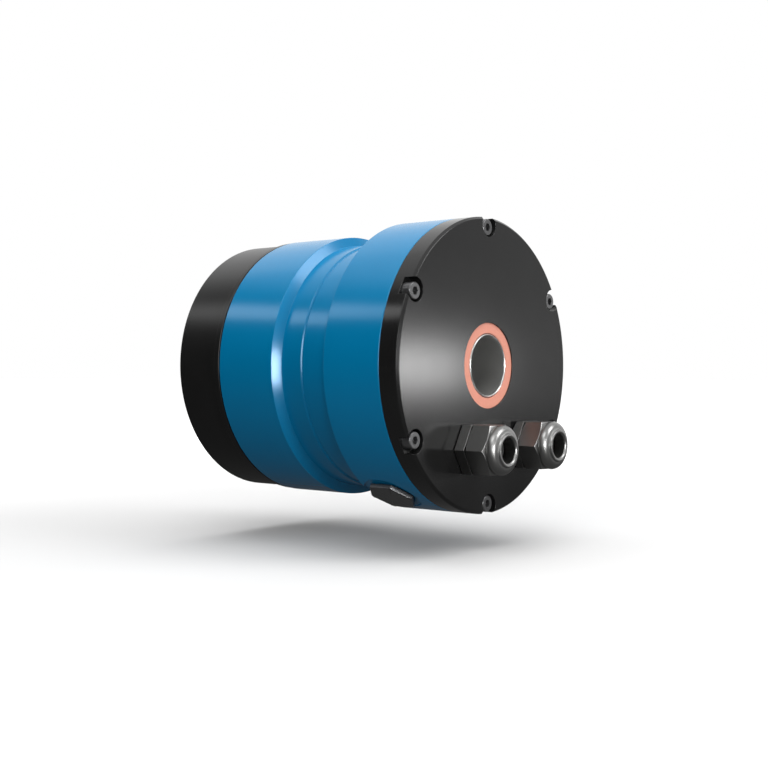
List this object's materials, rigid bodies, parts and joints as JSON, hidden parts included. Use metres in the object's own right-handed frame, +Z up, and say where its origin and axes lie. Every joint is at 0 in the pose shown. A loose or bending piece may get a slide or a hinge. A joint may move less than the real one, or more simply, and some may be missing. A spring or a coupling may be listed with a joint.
{
  "type": "robot joint actuator",
  "caption": "Hollow-shaft robot joint actuator: black output flange, blue stepped housing with a neck, black rear cover with notched screws, cable glands and a steel through tube.",
  "frame": {"origin": "centre of the output mounting face, on the shaft line", "axes": "+X along the shaft line from the output face to the rear cover and its cable glands, +Z up with the two glands low on the cover, -Y the side with the service plug"},
  "size_m": [0.1479, 0.124, 0.124],
  "materials": {
    "black_anodised_aluminium": "matt black hard anodised, lightly bead blasted",
    "blue_anodised_aluminium": "satin blue anodised, fine lathe turned",
    "stainless_steel": "drawn tube, bright",
    "nickel_plated_brass": "bright nickel plate",
    "black_rubber": "moulded nitrile rubber",
    "salmon_polymer": "turned filled polymer, matt",
    "black_oxide_steel": "black oxide",
    "bearing_steel": "ground",
    "machined_steel": "turned",
    "bare_aluminium": "as turned",
    "lamination_steel": "stacked laminations",
    "enamelled_copper": "wound enamelled wire",
    "nickel_plated_magnet": "nickel plate",
    "circuit_board": "solder mask",
    "brass_standoff": "turned brass"
  },
  "bodies": {
    "housing": {"front_housing": "blue_anodised_aluminium", "rear_housing": "blue_anodised_aluminium", "rear_cover": "black_anodised_aluminium", "cover_screws": "black_oxide_steel", "cover_o_ring": "black_rubber", "housing_o_ring": "black_rubber", "housing_joint_screws": "black_oxide_steel", "motor_oil_seal": "black_rubber", "output_oil_seal": "black_rubber", "bearing_retainer": "machined_steel", "main_bearing_outer_ring": "bearing_steel", "circular_spline": "machined_steel", "circular_spline_screws": "black_oxide_steel", "motor_bearing_outer_rings": "bearing_steel", "stator_core": "lamination_steel", "stator_windings": "enamelled_copper", "rear_bearing_plate": "bare_aluminium", "bearing_plate_screws": "black_oxide_steel", "brake_body": "machined_steel", "brake_posts": "machined_steel", "encoder_board": "circuit_board", "drive_board": "circuit_board", "board_standoffs": "brass_standoff", "shaft_seal": "salmon_polymer", "service_plug": "black_oxide_steel", "service_plug_gasket": "black_rubber", "gland_1_body": "nickel_plated_brass", "gland_1_nut": "nickel_plated_brass", "gland_1_insert": "black_rubber", "gland_1_gasket": "black_rubber", "gland_2_body": "nickel_plated_brass", "gland_2_nut": "nickel_plated_brass", "gland_2_insert": "black_rubber", "gland_2_gasket": "black_rubber"},
    "output": {"output_flange": "black_anodised_aluminium", "through_tube": "stainless_steel", "through_tube_screws": "stainless_steel", "main_bearing_inner_ring": "bearing_steel", "bearing_lock_ring": "machined_steel", "flexspline": "machined_steel", "flexspline_washer": "machined_steel", "flexspline_screws": "black_oxide_steel", "output_encoder_ring": "nickel_plated_magnet"},
    "rotor": {"rotor_shaft": "machined_steel", "rotor_core": "machined_steel", "rotor_magnets": "nickel_plated_magnet", "motor_bearing_inner_rings": "bearing_steel", "wave_bearing_outer_ring": "bearing_steel", "motor_bearing_balls": "bearing_steel", "wave_bearing_inner_ring": "bearing_steel", "wave_bearing_balls": "bearing_steel", "wave_generator_cam": "machined_steel", "brake_disc": "machined_steel", "rotor_encoder_ring": "nickel_plated_magnet"},
    "roller_set": {"main_bearing_rollers": "bearing_steel"},
    "brake_armature": {"brake_armature": "machined_steel"}
  },
  "joints": [
    {"name": "output_turn", "type": "hinge", "parent": "housing", "child": "output", "pos_m": [0, 0, 0], "axis": [1, 0, 0], "continuous": true},
    {"name": "rotor_spin", "type": "hinge", "parent": "housing", "child": "rotor", "pos_m": [0, 0, 0], "axis": [1, 0, 0], "continuous": true, "deforming": ["flexspline"]},
    {"name": "roller_orbit", "type": "hinge", "parent": "housing", "child": "roller_set", "pos_m": [0, 0, 0], "axis": [1, 0, 0], "continuous": true},
    {"name": "brake_release", "type": "slide", "parent": "housing", "child": "brake_armature", "axis": [1, 0, 0], "range_m": [0, 0.0002]}
  ],
  "couplings": [
    {"joint": "rotor_spin", "follows": "output_turn", "ratio": -50},
    {"joint": "roller_orbit", "follows": "output_turn", "ratio": 0.5}
  ]
}
